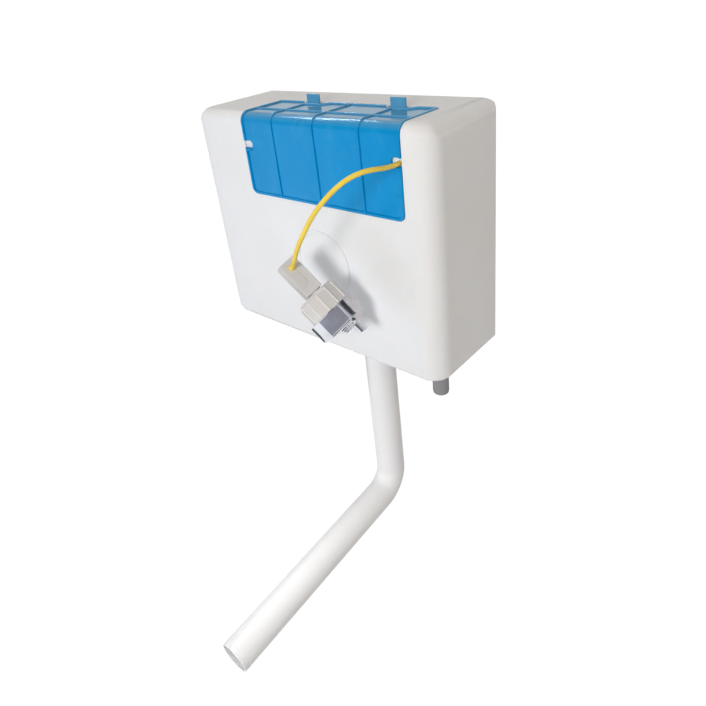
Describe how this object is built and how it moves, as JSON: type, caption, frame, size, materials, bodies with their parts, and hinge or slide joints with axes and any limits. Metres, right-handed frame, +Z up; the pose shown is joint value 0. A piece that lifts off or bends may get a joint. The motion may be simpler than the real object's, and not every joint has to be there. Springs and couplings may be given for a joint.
{
  "type": "toilet cistern",
  "caption": "Flat wall-hung toilet cistern with a blue clip-on access panel, a cable-operated chrome flush handle, a flush valve, a fill valve and a bent flush pipe.",
  "frame": {"origin": "centre of the flat back face, which lies against the wall", "axes": "+X to the right seen from the front, +Y into the wall, +Z up"},
  "size_m": [0.37, 0.3961, 0.6379],
  "materials": {
    "tank": "satin moulded polyethylene, milky white",
    "panel_blue": "glossy blue moulding",
    "valve_white": "satin white moulding",
    "inlet_grey": "dull grey moulding",
    "seal_rubber": "dull black rubber",
    "pipe_white": "smooth white pipe",
    "cable_yellow": "glossy yellow sheath",
    "housing_grey": "pale grey moulding",
    "chrome": "polished chrome",
    "steel": "bright steel",
    "nipple_brass": "plain brass"
  },
  "bodies": {
    "cistern": {"tank_shell": "tank", "flush_valve_body": "valve_white", "cable_bracket": "valve_white", "outlet_washer": "seal_rubber", "outlet_backnut": "valve_white", "pipe_seal": "seal_rubber", "pipe_nut": "valve_white", "flush_pipe": "pipe_white", "fill_valve_body": "inlet_grey", "fill_valve_head": "valve_white", "lever_pin": "steel", "inlet_washer": "seal_rubber", "inlet_backnut": "inlet_grey", "cable_sheath": "cable_yellow", "valve_ferrule": "cable_yellow", "handle_ferrule": "cable_yellow", "cable_housing": "housing_grey", "housing_cover": "housing_grey", "collar_nut": "housing_grey", "return_spring": "steel"},
    "panel": {"access_panel": "panel_blue", "panel_clips": "panel_blue"},
    "lever": {"spindle": "steel", "cable_drum": "valve_white", "drum_nipple": "nipple_brass", "lever_boss": "chrome", "lever_arm": "chrome", "finger_peg": "chrome", "lever_cap": "chrome", "spindle_screw": "steel"},
    "plunger": {"valve_plunger": "valve_white", "valve_seal": "seal_rubber", "valve_float": "valve_white", "inner_wire": "steel", "valve_nipple": "nipple_brass"},
    "water_float": {"fill_float": "valve_white", "float_link": "valve_white"},
    "float_arm": {"float_lever": "valve_white"}
  },
  "joints": [
    {"name": "panel_slide", "type": "slide", "parent": "cistern", "child": "panel", "axis": [0, -1, 0], "range_m": [0, 0.02]},
    {"name": "lever_turn", "type": "hinge", "parent": "cistern", "child": "lever", "pos_m": [0.0662, -0.19644, -0.02872], "axis": [0.6861, 0.1711, -0.7071], "range_deg": [0, 90], "stiffness_Nm_per_rad": 0.08, "springref_deg": -34.38},
    {"name": "plunger_lift", "type": "slide", "parent": "cistern", "child": "plunger", "axis": [0, 0, 1], "range_m": [0, 0.0103]},
    {"name": "float_rise", "type": "slide", "parent": "cistern", "child": "water_float", "axis": [0, 0, 1], "range_m": [0, 0.012]},
    {"name": "float_arm_turn", "type": "hinge", "parent": "cistern", "child": "float_arm", "pos_m": [0.152, -0.075, 0.088], "axis": [0, 1, 0], "range_deg": [0, 18.2]}
  ],
  "couplings": [
    {"joint": "plunger_lift", "follows": "lever_turn", "m_per_rad": 0.0065},
    {"joint": "float_arm_turn", "follows": "float_rise", "rad_per_m": 26.316}
  ]
}
